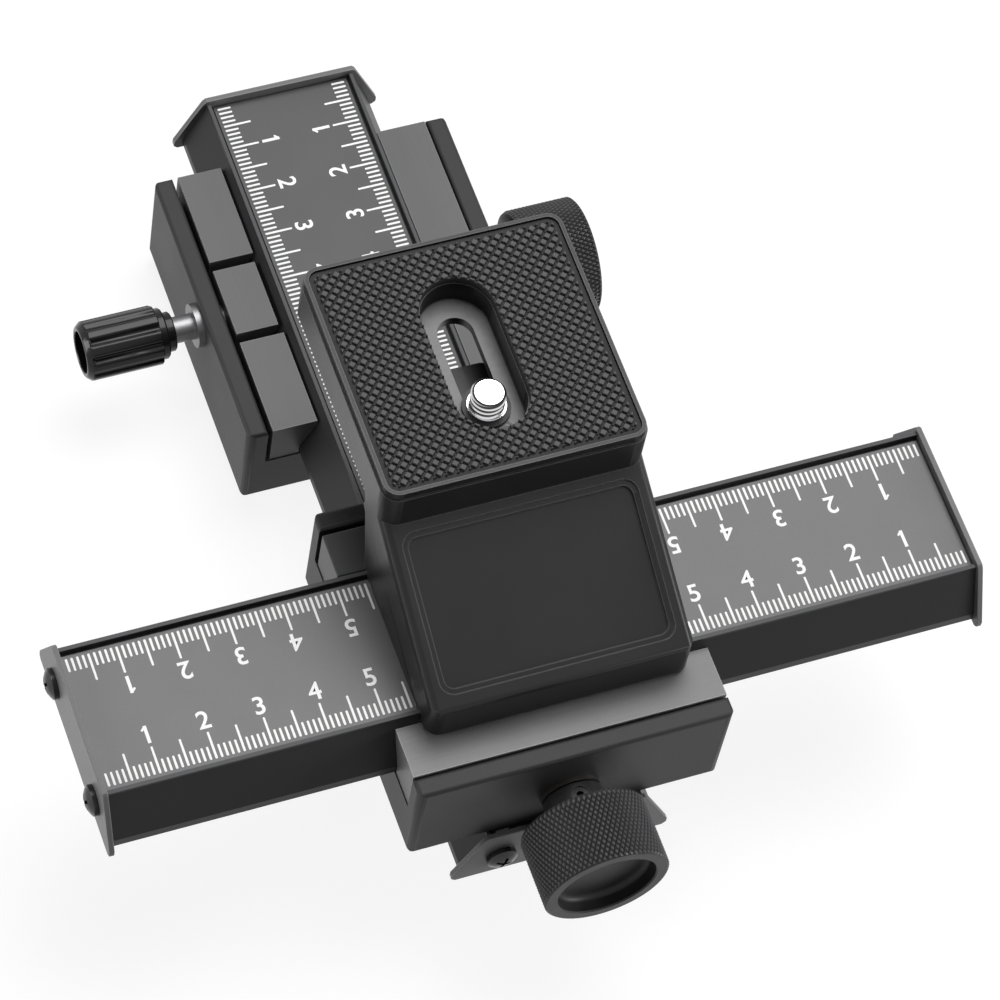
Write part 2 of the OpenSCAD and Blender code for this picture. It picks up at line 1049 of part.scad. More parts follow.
module base_fixed_guide()
{
    color(black)
        fixed_guide();
}

module base_rear_guide()
{
    color(black)
        short_guide(1);
}

module base_front_guide()
{
    color(black)
        short_guide(-1);
}

module base_brake_shoe()
{
    color(black)
        brake_shoe();
}

module base_guide_screws()
{
    color(steel)
        guide_screws();
}

module base_lock_boss()
{
    color(steel)
        lock_boss();
}

module base_lock_screw()
{
    color(steel)
        lock_screw();
}

module base_lock_knob()
{
    color(black)
        lock_knob();
}

module base_pinion_bush()
{
    color(brass)
        pinion_bush();
}

module base_pinion_shaft()
{
    color(steel)
        pinion_shaft();
}

module base_drive_knob()
{
    color(black)
        drive_knob();
}

module base_knob_grub()
{
    color(steel)
        knob_grub();
}

module quarter_bush()
{
    color(steel)
        tripod_bush(tripod_y, quarter_d, quarter_od);
}

module three_eighths_bush()
{
    color(steel)
        tripod_bush(-tripod_y, eighths_d, eighths_od);
}

module lower_rail()
{
    color(black)
        difference()
        {
            lower_slide()
                rail_blank();
            upper_stage()
                for (p = block_bolts)
                    translate([p[0], p[1], 0])
                        cylinder_up(bolt_d, block_seat - block_bolt_len - 2.4, 1);
        }
}

module lower_rack()
{
    color(steel)
        lower_slide()
            rack(lower_rest);
}

module lower_scale()
{
    color(grey)
        difference()
        {
            lower_slide()
                scale_strip();
            upper_stage()
                for (p = block_bolts)
                    translate([p[0], p[1], 0])
                        cylinder_up(bolt_d, -lip_h - scale_t - 1, 1);
        }
}

module lower_front_plate()
{
    color(black)
        lower_slide()
            end_plate(-1);
}

module lower_back_plate()
{
    color(black)
        lower_slide()
            end_plate(1);
}

module lower_plate_screws()
{
    color(black)
        lower_slide()
            plate_screws();
}

module upper_block()
{
    color(black)
        upper_stage()
            difference()
            {
                block_shell();
                block_cuts();
                for (p = block_bolts)
                    translate([p[0], p[1], 0])
                    {
                        cylinder_up(head_d + 0.4, block_seat, floor_h + 1);
                        cylinder_up(bolt_d, -1, floor_h);
                    }
            }
}

module upper_block_bolts()
{
    color(steel)
        upper_stage()
            block_bolt_set();
}

module upper_fixed_guide()
{
    color(black)
        upper_stage()
            fixed_guide();
}

module upper_right_guide()
{
    color(black)
        upper_stage()
            short_guide(1);
}

module upper_left_guide()
{
    color(black)
        upper_stage()
            short_guide(-1);
}

module upper_brake_shoe()
{
    color(black)
        upper_stage()
            brake_shoe();
}

module upper_guide_screws()
{
    color(steel)
        upper_stage()
            guide_screws();
}

module upper_lock_boss()
{
    color(steel)
        upper_stage()
            lock_boss();
}

module upper_lock_screw()
{
    color(steel)
        upper_stage()
            lock_screw();
}

module upper_lock_knob()
{
    color(black)
        upper_stage()
            lock_knob();
}

module upper_pinion_bush()
{
    color(brass)
        upper_stage()
            pinion_bush();
}

module upper_pinion_shaft()
{
    color(steel)
        upper_stage()
            pinion_shaft();
}

module upper_drive_knob()
{
    color(black)
        upper_stage()
            drive_knob();
}

module upper_knob_grub()
{
    color(steel)
        upper_stage()
            knob_grub();
}

module upper_rail()
{
    color(black)
        difference()
        {
            upper_slide()
                rail_blank();
            cast_frame()
                for (p = cast_bolts)
                    translate([p[0], p[1], 0])
                    {
                        cylinder_up(head_d + 0.4, rail_bot - scale_z - 1, cast_seat);
                        cylinder_up(bolt_d, rail_bot - scale_z, 1);
                    }
        }
}

module upper_rack()
{
    color(steel)
        upper_slide()
            rack(upper_rest);
}

module upper_scale()
{
    color(grey)
        difference()
        {
            upper_slide()
                scale_strip();
            cast_frame()
                for (p = cast_bolts)
                    translate([p[0], p[1], 0])
                        cylinder_up(bolt_d, -scale_t - 1, 1);
        }
}

module upper_left_plate()
{
    color(black)
        upper_slide()
            end_plate(-1);
}

module upper_right_plate()
{
    color(black)
        upper_slide()
            end_plate(1);
}

module upper_plate_screws()
{
    color(black)
        upper_slide()
            plate_screws();
}

module platform_casting()
{
    color(black)
        cast_frame()
            casting();
}

module platform_bolts()
{
    color(steel)
        cast_frame()
            cast_bolt_set();
}

module platform_pad()
{
    color([0.12, 0.12, 0.12])
        cast_frame()
            rubber_pad();
}

module camera_bush()
{
    color(black)
        cast_frame()
            neck_bush();
}

module camera_clip()
{
    color(steel)
        cast_frame()
            neck_clip();
}

module camera_thumb_screw()
{
    color(steel)
        cast_frame()
            camera_screw();
}

base_block();
base_fixed_guide();
base_rear_guide();
base_front_guide();
base_brake_shoe();
base_guide_screws();
base_lock_boss();
base_lock_screw();
base_lock_knob();
base_pinion_bush();
base_pinion_shaft();
base_drive_knob();
base_knob_grub();
quarter_bush();
three_eighths_bush();
lower_rail();
lower_rack();
lower_scale();
lower_front_plate();
lower_back_plate();
lower_plate_screws();
upper_block();
upper_block_bolts();
upper_fixed_guide();
upper_right_guide();
upper_left_guide();
upper_brake_shoe();
upper_guide_screws();
upper_lock_boss();
upper_lock_screw();
upper_lock_knob();
upper_pinion_bush();
upper_pinion_shaft();
upper_drive_knob();
upper_knob_grub();
upper_rail();
upper_rack();
upper_scale();
upper_left_plate();
upper_right_plate();
upper_plate_screws();
platform_casting();
platform_bolts();
platform_pad();
camera_bush();
camera_clip();
camera_thumb_screw();
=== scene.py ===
# %% [markdown]
# # A macro focusing rail
#
# Two crossed dovetail slides, each moved by a knurled knob and held by a fluted lock knob, carry a raised
# platform for a camera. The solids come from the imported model, already in place and in metres. This
# notebook dresses them: it softens their edges, adds the printed scales, the knurling, the studs of the
# rubber pad and the screw threads, and gives every surface its finish.

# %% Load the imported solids
import bpy
import json
import math
from math import pi, radians
from mathutils import Matrix, Vector

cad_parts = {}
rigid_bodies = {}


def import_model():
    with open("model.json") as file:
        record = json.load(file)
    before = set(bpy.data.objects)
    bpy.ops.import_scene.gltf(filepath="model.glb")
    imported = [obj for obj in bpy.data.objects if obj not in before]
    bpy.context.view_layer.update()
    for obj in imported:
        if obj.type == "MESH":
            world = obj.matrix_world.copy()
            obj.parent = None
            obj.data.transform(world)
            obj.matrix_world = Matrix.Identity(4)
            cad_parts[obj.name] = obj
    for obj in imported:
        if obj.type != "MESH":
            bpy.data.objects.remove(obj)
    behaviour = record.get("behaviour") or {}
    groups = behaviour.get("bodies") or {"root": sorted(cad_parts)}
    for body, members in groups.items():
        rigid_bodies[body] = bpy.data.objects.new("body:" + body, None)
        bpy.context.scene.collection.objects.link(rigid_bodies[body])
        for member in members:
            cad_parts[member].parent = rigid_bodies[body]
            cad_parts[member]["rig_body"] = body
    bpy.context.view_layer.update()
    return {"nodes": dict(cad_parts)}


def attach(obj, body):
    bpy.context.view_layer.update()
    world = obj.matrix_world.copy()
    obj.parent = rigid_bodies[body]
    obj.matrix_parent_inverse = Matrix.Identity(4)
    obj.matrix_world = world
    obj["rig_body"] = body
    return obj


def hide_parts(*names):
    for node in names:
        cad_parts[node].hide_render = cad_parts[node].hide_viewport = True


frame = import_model()
nodes = frame["nodes"]
ops = bpy.ops

# %% [markdown]
# ## Camera
#
# The photograph looks down on the rail from the front left. The place, the direction and the long lens
# were found by least squares from printed scale marks and from corners of the blocks, the plates and the
# platform. A lens of 176 mm on a 36 mm sensor keeps parallel edges almost parallel, as in the photograph.
# The matrix is written out whole, because three turned axes say exactly what was found.

# %% Place the camera
sight = bpy.data.cameras.new("sight")
sight.lens = 175.93
sight.sensor_width = 36.0
sight.clip_start = 0.05
camera = bpy.data.objects.new("camera", sight)
bpy.context.scene.collection.objects.link(camera)
right = Vector((0.93652, -0.332193, 0.11215))
up = Vector((0.234959, 0.832042, 0.502494))
back = Vector((-0.260239, -0.444245, 0.857276))
eye = Vector((-0.22005, -0.44803, 0.78239))
camera.matrix_world = Matrix.Translation(eye) @ Matrix((right, up, back)).transposed().to_4x4()
bpy.context.scene.camera = camera
print("camera", [round(v, 3) for v in eye])

# %% [markdown]
# ## Working in edit mode
#
# An operator acts on everything that is selected, so each step starts from nothing selected. These small
# helpers put one object in edit mode, choose its vertices by a test on their place, and bake its
# transform into its mesh, so that a finished piece sits at the origin as the solids do. Blender counts in
# metres and the sizes of this rail are given in millimetres, so they are multiplied by MM.

# %% Helpers for edit mode
MM = 0.001
DOUBLE = 1e-6         # vertices closer than this, in metres, are one


def only(obj):
    """Select obj alone and make it active."""
    for o in bpy.context.selected_objects:
        o.select_set(False)
    obj.select_set(True)
    bpy.context.view_layer.objects.active = obj
    return obj


def edit(obj, pick=None, mode="VERT"):
    """Enter edit mode with everything selected, or only the vertices whose place passes the test."""
    only(obj)
    ops.object.mode_set(mode="EDIT")
    ops.mesh.select_mode(type="VERT")
    ops.mesh.select_all(action="DESELECT" if pick else "SELECT")
    if pick:
        ops.object.mode_set(mode="OBJECT")
        for v in obj.data.vertices:
            v.select = bool(pick(v.co))
        ops.object.mode_set(mode="EDIT")
    if mode != "VERT":
        ops.mesh.select_mode(type=mode)


def done():
    """Leave edit mode and return the object."""
    ops.object.mode_set(mode="OBJECT")
    return bpy.context.view_layer.objects.active


def settle(obj):
    """Bake place, turn and size into the mesh."""
    only(obj)
    ops.object.transform_apply(location=True, rotation=True, scale=True)
    return obj


def put(obj, at=(0, 0, 0), turn=(0, 0, 0)):
    """Turn a piece that was modelled at the origin, move it to its place in mm, and bake both."""
    obj.rotation_euler = [radians(a) for a in turn]
    obj.location = Vector(at) * MM
    return settle(obj)


def join(objs, name):
    """Make one object of several."""
    only(objs[0])
    for o in objs[1:]:
        o.select_set(True)
    ops.object.join()
    objs[0].name = objs[0].data.name = name
    return objs[0]


def modify(obj, kind, **settings):
    """Add one modifier and apply it."""
    only(obj)
    m = obj.modifiers.new(kind.lower(), kind)
    for key, value in settings.items():
        setattr(m, key, value)
    ops.object.modifier_apply(modifier=m.name)
    return obj


def tidy(obj, angle):
    """Merge doubles, point the faces outwards and shade smooth below the given edge angle."""
    edit(obj)
    ops.mesh.remove_doubles(threshold=DOUBLE)
    ops.mesh.normals_make_consistent(inside=False)
    done()
    ops.object.shade_smooth_by_angle(angle=radians(angle))
    return obj


def copy_of(obj, name):
    """A second object with its own mesh."""
    twin = obj.copy()
    twin.data = obj.data.copy()
    twin.name = twin.data.name = name
    bpy.context.scene.collection.objects.link(twin)
    return twin


def dress(obj, name, body, slot, material, *replaced):
    """Name a finished piece, give it its finish, and fix it to its body."""
    obj.name = obj.data.name = name
    obj.data.materials.clear()
    obj.data.materials.append(material)
    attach(obj, body)
    if replaced:
        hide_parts(*replaced)
    return obj


print("helpers ready")

# %% [markdown]
# ## Shader maths
#
# A finish is mostly arithmetic on patterns: a noise times a small number, plus the plain colour. Wiring
# Math nodes by hand hides that, so one class wraps a socket and lets Python's own signs build the nodes.
# Its method `node` adds any other node from its type, its settings and the values of its sockets.

# %% A socket that can be calculated with
class Wire:
    """A shader socket that Python's signs work on."""

    def __init__(self, tree, socket):
        self.tree = tree
        self.socket = socket

    def math(self, operation, *others):
        return node(self.tree, "Math", {"operation": operation}, [self, *others])

    def __add__(self, other):
        return self.math("ADD", other)

    def __sub__(self, other):
        return self.math("SUBTRACT", other)

    def __mul__(self, other):
        return self.math("MULTIPLY", other)

    def __rsub__(self, other):
        return node(self.tree, "Math", {"operation": "SUBTRACT"}, [other, self])

    __radd__ = __add__
    __rmul__ = __mul__

    def clamp(self):
        """Held between 0 and 1."""
        return node(self.tree, "Clamp", {}, [self])

    def ramp(self, low, high):
        """0 below low and 1 above high."""
        limits = {"Value": self, "From Min": low, "From Max": high}
        return node(self.tree, "MapRange", {"clamp": True}, limits)


def node(tree, kind, settings=None, inputs=None, out=0):
    """Add a shader node; a list fills its sockets in order, a dictionary by name."""
    n = tree.nodes.new("ShaderNode" + kind)
    for key, value in (settings or {}).items():
        setattr(n, key, value)
    pairs = inputs.items() if isinstance(inputs, dict) else enumerate(inputs or [])
    for key, value in pairs:
        if isinstance(value, Wire):
            tree.links.new(value.socket, n.inputs[key])
        else:
            n.inputs[key].default_value = value
    return Wire(tree, n.outputs[out])


class Finish:
    """A material with one Principled shader; patterns read Object coordinates in metres."""

    def __init__(self, name, color, rough, metal=0.0, **fixed):
        self.mat = bpy.data.materials.new(name)
        self.mat.use_nodes = True
        self.tree = self.mat.node_tree
        self.shader = self.tree.nodes["Principled BSDF"]
        self.set("Base Color", (*color, 1))
        self.set("Roughness", rough)
        self.set("Metallic", metal)
        for key, value in fixed.items():
            self.set(key.replace("_", " "), value)
        self.place = node(self.tree, "TexCoord", out=3)

    def set(self, name, value):
        """Give one of the shader's sockets a value or a wire."""
        if isinstance(value, Wire):
            self.tree.links.new(value.socket, self.shader.inputs[name])
        else:
            self.shader.inputs[name].default_value = value

    def at(self, scale=(1, 1, 1), move=(0, 0, 0)):
        """Object coordinates, scaled and moved."""
        return node(self.tree, "Mapping", {}, {"Vector": self.place, "Location": move, "Scale": scale})

    def axis(self, letter):
        """One coordinate in metres."""
        return node(self.tree, "SeparateXYZ", {}, [self.place], out="xyz".index(letter))

    def noise(self, size, detail=3.0, stretch=(1, 1, 1)):
        """Noise with cells of a size in mm, stretched along the axes."""
        cells = self.at([1 / (size * MM * s) for s in stretch])
        return node(self.tree, "TexNoise", {}, {"Vector": cells, "Scale": 1.0, "Detail": detail})

    def mix(self, amount, a, b):
        """Colour a where amount is 0 and b where it is 1."""
        n = self.tree.nodes.new("ShaderNodeMix")
        n.data_type = "RGBA"
        for key, value in ((0, amount), (6, a), (7, b)):
            if isinstance(value, Wire):
                self.tree.links.new(value.socket, n.inputs[key])
            else:
                n.inputs[key].default_value = (*value, 1) if key else value
        return Wire(self.tree, n.outputs[2])

    def bump(self, height, depth):
        """Raise the surface by height times a depth in mm."""
        inputs = {"Height": height, "Distance": depth * MM, "Strength": 1.0}
        self.set("Normal", node(self.tree, "Bump", {}, inputs))


def shade(color, k):
    """The colour made k times as bright."""
    return tuple(min(1.0, c * k) for c in color)


print("shader helpers ready")

# %% [markdown]
# ## Edge mask
#
# Edges are painted a little brighter: partly rubbed wear, partly a painted highlight, the thin line of
# light a rounded edge catches. The Bevel node gives the surface's direction as if its edges were round, so
# where it differs from the true direction there is an edge. The difference works on any solid, without
# painting a texture and without a denser mesh.

# %% Where the edges are
def edge_mask(finish, radius):
    """1 on edges, 0 on flat ground; radius in mm."""
    tree = finish.tree
    soft = node(tree, "Bevel", {"samples": 4}, {"Radius": radius * MM})
    true = node(tree, "NewGeometry", out=1)
    same = node(tree, "VectorMath", {"operation": "DOT_PRODUCT"}, [soft, true], out=1)
    return (1 - same).ramp(0.0, 0.25)


print("edge mask ready")

# %% [markdown]
# ## Anodised aluminium
#
# The blocks and rails are milled and extruded aluminium, blasted and anodised black. Such a skin is not
# quite black: it is dark grey, with a very fine grain and faint lengthwise drawing lines. Its edges, and
# the rails' lip tops, are painted lighter: partly rubbed wear, partly a painted highlight where they catch
# light.
# A metal shader would mirror the white studio too strongly, so this is a dark, rough dielectric with a
# fine bump; the drawing lines are one noise stretched along the slide.

# %% Blocks, rails, guides and plates
def anodised(name, color, rough, stretch=(1, 1, 1), lines=0.25, grain=0.012, spec=0.25, highlight_and_wear=None):
    """Drawn lines follow the stretch; edges, and tops above a height in mm, get a painted highlight, partly
    wear.
    """
    f = Finish(name, color, rough, Specular_IOR_Level=spec)
    fine = f.noise(0.16, 2.0)
    cloud = f.noise(14.0, 3.0)
    drawn = f.noise(0.5, 2.0, stretch)
    tone = (cloud - 0.5) * 0.5 + (drawn - 0.5) * lines + (fine - 0.5) * 0.35 + 0.5
    base = f.mix(tone.clamp(), shade(color, 0.72), shade(color, 1.3))
    # Painted highlight, partly wear: edges are painted lighter, and on the rails so are the lip tops.
    edge_highlight_and_wear = edge_mask(f, 0.35) * (cloud.ramp(0.3, 0.6) * 0.5 + 0.5) * 0.5
    if highlight_and_wear:
        edge_highlight_and_wear = edge_highlight_and_wear.math("MAXIMUM", f.axis("z").ramp(highlight_and_wear * MM, (highlight_and_wear + 0.1) * MM) * 0.75)
    f.set("Base Color", f.mix(edge_highlight_and_wear, base, shade(color, 4.5)))
    f.set("Roughness", (drawn - 0.5) * 0.12 + (cloud - 0.5) * 0.1 + rough)
    f.bump(fine * 0.6 + drawn * 0.4, grain)
    return f.mat


RAIL_BLACK = (0.020, 0.020, 0.021)
rail_look = {"grain": 0.02, "spec": 0.16}
body_black = anodised("body_black", (0.026, 0.026, 0.027), 0.46, lines=0.5, grain=0.02, spec=0.18)
# Above these heights the rails' lip tops get a painted highlight, partly wear.
rail_y_black = anodised("rail_y_black", RAIL_BLACK, 0.42, (1, 40, 1), highlight_and_wear=23.58, **rail_look)
rail_x_black = anodised("rail_x_black", RAIL_BLACK, 0.42, (40, 1, 1), highlight_and_wear=47.28, **rail_look)
guide_y_black = anodised("guide_y_black", (0.108, 0.108, 0.11), 0.42, (1, 30, 1), 0.35)
# A lighter copy of the guide grey, as painted sheen on the lit front X guide.
guide_x_black = anodised("guide_x_black", (0.205, 0.205, 0.208), 0.42, (30, 1, 1), 0.35)
# A darker copy of the guide grey, as painted shade on the rear X guides under the table.
guide_rear_black = anodised("guide_rear_black", (0.055, 0.055, 0.056), 0.42, (30, 1, 1), 0.35)
plate_black = anodised("plate_black", (0.135, 0.135, 0.137), 0.40)
print("anodised finishes", body_black.name, guide_x_black.name)

# %% [markdown]
# ## Painted casting
#
# The platform is a die casting under satin black paint. Paint flows a little, so it has a soft orange
# peel of about a millimetre, finer than the casting's own waviness. Its edges and raised rims are painted
# much brighter than the flats: a painted highlight, partly paint thinned by wear. The floor of the cup is
# milled bare after painting; it is found by its height and its distance from the slot's middle line.

# %% Satin black paint
PLATFORM_Y = -53.1    # middle of the camera platform, in mm
CUP_FLOOR = 69.8      # height of the cup's floor
SLOT_HALF = 8.75      # half the straight part of the cup's outline
CUP_R = 6.3           # radius of its round ends
BARE_METAL = (0.2, 0.2, 0.202)


def painted(name, color, rough):
    """Black paint, with a painted highlight on its edges, partly wear, and milled off the cup's floor."""
    f = Finish(name, color, rough, Specular_IOR_Level=0.25)
    peel = f.noise(0.9, 2.0)
    grit = f.noise(0.14, 2.0)
    wave = f.noise(18.0, 2.0)
    base = f.mix(wave, shade(color, 0.8), shade(color, 1.2))
    # Painted highlight, partly wear: the edges are painted far brighter.
    edge_highlight_and_wear = edge_mask(f, 0.4) * 0.85
    x, y, z = (f.axis(letter) for letter in "xyz")
    along = ((y - PLATFORM_Y * MM).math("ABSOLUTE") - SLOT_HALF * MM).math("MAXIMUM", 0.0)
    inside = 1 - (x * x + along * along).math("SQRT").ramp((CUP_R - 0.05) * MM, (CUP_R + 0.05) * MM)
    below = 1 - z.ramp((CUP_FLOOR + 0.02) * MM, (CUP_FLOOR + 0.1) * MM)
    above = z.ramp((CUP_FLOOR - 0.2) * MM, (CUP_FLOOR - 0.1) * MM)
    bare = inside * below * above
    scuffed = f.mix(f.noise(1.2, 3.0), shade(BARE_METAL, 0.8), shade(BARE_METAL, 1.15))
    f.set("Base Color", f.mix(bare, f.mix(edge_highlight_and_wear, base, shade(color, 13.0)), scuffed))
    f.set("Roughness", (wave - 0.5) * 0.12 + (peel - 0.5) * 0.08 + rough)
    f.bump(peel * 0.7 + grit * 0.3, 0.008)
    return f.mat


casting_black = painted("casting_black", (0.0105, 0.0105, 0.011), 0.36)
print("paint", casting_black.name)

# %% [markdown]
# ## Knobs
#
# The drive knobs are turned and black anodised; their turned faces carry fine rings round the axis, and
# their edges a painted highlight, partly wear. The lock knobs are glossy moulded plastic with a flow-line
# sheen. Rings need the distance from the axis, so the finish is made once for each knob's axis. The same
# distance finds the knurl, because nothing else on the knob is as wide: its grooves are painted dark as
# shade and its points painted bright as a highlight, which makes it readable.

# %% Turned and moulded knobs
RING = 0.22           # feed of the lathe, in mm
KNURL_FOOT = 11.2     # radius below which the knurl's grooves are painted dark, as shade
KNURL_POINT = 11.46   # radius from which its points are painted bright, as a highlight
KNOB_Z = 8.2          # height of the base drive knob's axis
UPPER_RISE = 23.7     # how much higher the upper stage lies than the base stage


def from_axis(f, centre, across):
    """Distance from an axis through centre (mm); across names the two axes that measure it."""
    keep = [1.0 if a in across else 0.0 for a in "xyz"]
    centred = f.at(move=[-c * MM for c in centre])
    flat = node(f.tree, "VectorMath", {"operation": "MULTIPLY"}, [centred, keep])
    return node(f.tree, "VectorMath", {"operation": "LENGTH"}, [flat], out=1)


def turned(name, color, rough, centre, across):
    """Fine turning rings; painted highlight on edges, partly wear; painted shade and highlight on a knurl.
    """
    f = Finish(name, color, rough, Specular_IOR_Level=0.25)
    radius = from_axis(f, centre, across)
    rings = (radius * (2 * pi / (RING * MM))).math("SINE") * 0.5 + 0.5
    cloud = f.noise(3.0, 3.0)
    fine = f.noise(0.12, 2.0)
    base = f.mix(cloud * 0.6 + rings * 0.15 + fine * 0.25, shade(color, 0.7), shade(color, 1.35))
    # Painted highlight, partly wear, on the edges.
    highlight_and_wear = f.mix(edge_mask(f, 0.2) * 0.5, base, shade(color, 2.6))
    # Painted shade in the knurl's grooves and a painted highlight on its points.
    knurl = f.mix(radius.ramp(KNURL_FOOT * MM, KNURL_POINT * MM), shade(color, 0.3), shade(color, 4.5))
    f.set("Base Color", f.mix(radius.ramp((KNURL_FOOT - 0.08) * MM, KNURL_FOOT * MM), highlight_and_wear, knurl))
    f.set("Roughness", (rings - 0.5) * 0.06 + (cloud - 0.5) * 0.12 + rough)
    f.bump(rings * 0.5 + fine * 0.5, 0.006)
    return f.mat


def moulded(name, color, rough):
    """Plastic with slow flow lines under a thin gloss."""
    f = Finish(name, color, rough, Specular_IOR_Level=0.22, Coat_Weight=0.05, Coat_Roughness=0.1)
    flow = f.noise(6.0, 2.0)
    fine = f.noise(0.2, 2.0)
    f.set("Base Color", f.mix(flow, shade(color, 0.6), shade(color, 1.5)))
    f.set("Roughness", (flow - 0.5) * 0.14 + (fine - 0.5) * 0.05 + rough)
    f.bump(fine, 0.003)
    return f.mat


KNOB_BLACK = (0.02, 0.02, 0.021)
knob_black_x = turned("knob_black_x", KNOB_BLACK, 0.42, (0, 0, KNOB_Z), "yz")
knob_black_y = turned("knob_black_y", KNOB_BLACK, 0.42, (0, 0, KNOB_Z + UPPER_RISE), "xz")
lock_black = moulded("lock_black", (0.007, 0.007, 0.0075), 0.2)
print("knob finishes ready")

# %% [markdown]
# ## Bare and plated metal
#
# Screws, shafts and racks are bright metal, so these are metal shaders whose look comes from what they
# reflect. Plating is smooth with a slight cloudiness, brushed and hobbed steel is rougher, with lines
# across the teeth. The bronze bush is only seen as a thin ring behind each knob, painted almost black as
# the shade of the knob's neck. The camera screw has its own nickel, which is painted dark in the thread's
# root as shade in the grooves.

# %% Steel, nickel, bronze
SCREW_Y = -60.9       # axis of the camera screw at rest, in mm
SCREW_TOP = 75.3      # its upper end at rest
THREAD_DARK = 2.85    # radius up to which its thread is painted dark, as shade
THREAD_BRIGHT = 3.02  # radius from which its thread is bright


def plated(name, color, rough, stretch=(1, 1, 1), lines=0.1, metal=1.0, thread=None):
    """Metal, clouded and drawn; thread is the upper end of a screw whose roots get painted shade."""
    f = Finish(name, color, rough, metal)
    cloud = f.noise(2.5, 3.0)
    drawn = f.noise(0.18, 2.0, stretch)
    tone = f.mix(cloud * 0.7 + drawn * 0.3, shade(color, 0.82), shade(color, 1.1))
    if thread:
        # Painted shade in the thread's roots, below the screw's top face.
        root = 1 - from_axis(f, thread, "xy").ramp(THREAD_DARK * MM, THREAD_BRIGHT * MM)
        below_top = 1 - f.axis("z").ramp((thread[2] - 0.06) * MM, (thread[2] - 0.03) * MM)
        tone = f.mix(root * below_top, tone, shade(color, 0.05))
    f.set("Base Color", tone)
    f.set("Roughness", (cloud - 0.5) * 0.1 + (drawn - 0.5) * lines + rough)
    f.bump(drawn, 0.003)
    return f.mat


NICKEL = (0.80, 0.80, 0.81)
RACK_STEEL = (0.50, 0.50, 0.52)
nickel = plated("bright_steel", NICKEL, 0.16)
screw_nickel = plated("screw_nickel", NICKEL, 0.16, thread=(0, SCREW_Y, SCREW_TOP))
zinc = plated("socket_steel", (0.55, 0.56, 0.58), 0.34)
rack_y_steel = plated("rack_y_steel", RACK_STEEL, 0.38, (12, 1, 1), 0.2)
rack_x_steel = plated("rack_x_steel", RACK_STEEL, 0.38, (1, 12, 1), 0.2)
dull_steel = plated("dull_steel", (0.2, 0.2, 0.205), 0.4)
# Painted shade: the bush is made almost black, as the knob's neck shades it.
shaded_bronze = plated("bush_bronze", (0.05, 0.046, 0.042), 0.42, metal=0.7)
screw_black = plated("screw_black", (0.035, 0.035, 0.037), 0.22, metal=0.6)
print("metals ready")

# %% [markdown]
# ## Rubber, plastic, film and ink
#
# The pad is matt moulded rubber, painted dark in the grooves as shade and paler on the stud tops.
# The scales are printed film: a grey with a faint mottle, darker on the lower scale, partly as painted
# shade, and white ink that is slightly broken at its edges. Both are plain plastics with little gloss.

# %% Rubber and printed film
PAD_BASE = 75.8       # top of the pad's sheet in mm, where the studs begin


def rubber(name, color, low, high):
    """Painted shade in the grooves and paler on the tops, between two heights in mm."""
    f = Finish(name, color, 0.72, Specular_IOR_Level=0.28)
    top = f.axis("z").ramp(low * MM, high * MM)
    dust = f.noise(5.0, 4.0)
    fine = f.noise(0.2, 2.0)
    tops = f.mix(dust, shade(color, 0.85), shade(color, 1.25))
    # Painted shade: the grooves get a fifth of the colour.
    f.set("Base Color", f.mix(top, shade(color, 0.22), tops))
    f.set("Roughness", (dust - 0.5) * 0.15 + (fine - 0.5) * 0.1 + 0.7)
    f.bump(fine, 0.02)
    return f.mat


def film(name, color, rough=0.46, vary=0.28):
    """Printed film or ink, whose tone wanders by a share called vary."""
    f = Finish(name, color, rough, Specular_IOR_Level=0.4)
    mottle = f.noise(9.0, 4.0)
    fine = f.noise(0.25, 2.0)
    tone = mottle * 0.6 + fine * 0.4
    f.set("Base Color", f.mix(tone, shade(color, 1 - vary), shade(color, 1 + vary)))
    f.set("Roughness", (mottle - 0.5) * 0.16 + rough)
    f.bump(fine, 0.006)
    return f.mat


pad_rubber = rubber("pad_rubber", (0.085, 0.085, 0.085), PAD_BASE - 0.05, PAD_BASE + 0.55)
bush_plastic = moulded("bush_plastic", (0.012, 0.012, 0.012), 0.4)
# The lower scale's film is darker than the upper's, partly as painted shade, as it lies further from the
# lamps.
film_y = film("scale_grey", (0.047, 0.047, 0.048))
film_x = film("scale_light", (0.125, 0.125, 0.127))
ink_white = film("ink_white", (0.93, 0.93, 0.925), 0.5, 0.05)
print("rubber and film ready")

# %% [markdown]
# ## Softened edges
#
# No milled or cast edge is a knife edge; it catches a thin line of light. The solids are exact and have
# sharp edges, so the large ones are copied, their triangles merged back into whole faces, and their
# edges bevelled by a fraction of a millimetre. Every wide face gets a sharp border, so that smooth
# shading can't bend its look. The copy then stands for the solid.

# %% Bevel copies of the solids
WIDE = 25             # area in square mm from which a face is wide


def eased(name, width, material, slot, limit=32):
    """A copy of a solid, bevelled where it turns by more than the limit, in place of the solid."""
    source = nodes[name]
    body = source["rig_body"]
    piece = copy_of(source, "soft_" + name)
    piece.parent = None
    for key in list(piece.keys()):
        del piece[key]
    edit(piece)
    ops.mesh.remove_doubles(threshold=2e-6)
    ops.mesh.dissolve_limited(angle_limit=radians(0.6), delimit=set())
    done()
    modify(piece, "BEVEL", width=width * MM, segments=2, limit_method="ANGLE",
           angle_limit=radians(limit), harden_normals=False, use_clamp_overlap=True)
    only(piece)
    ops.object.shade_smooth_by_angle(angle=radians(20))
    edit(piece, mode="FACE")
    ops.mesh.select_all(action="DESELECT")
    done()
    for face in piece.data.polygons:
        face.select = face.area > WIDE * MM * MM
    ops.object.mode_set(mode="EDIT")
    ops.mesh.mark_sharp()
    done()
    return dress(piece, "soft_" + name, body, slot, material, name)


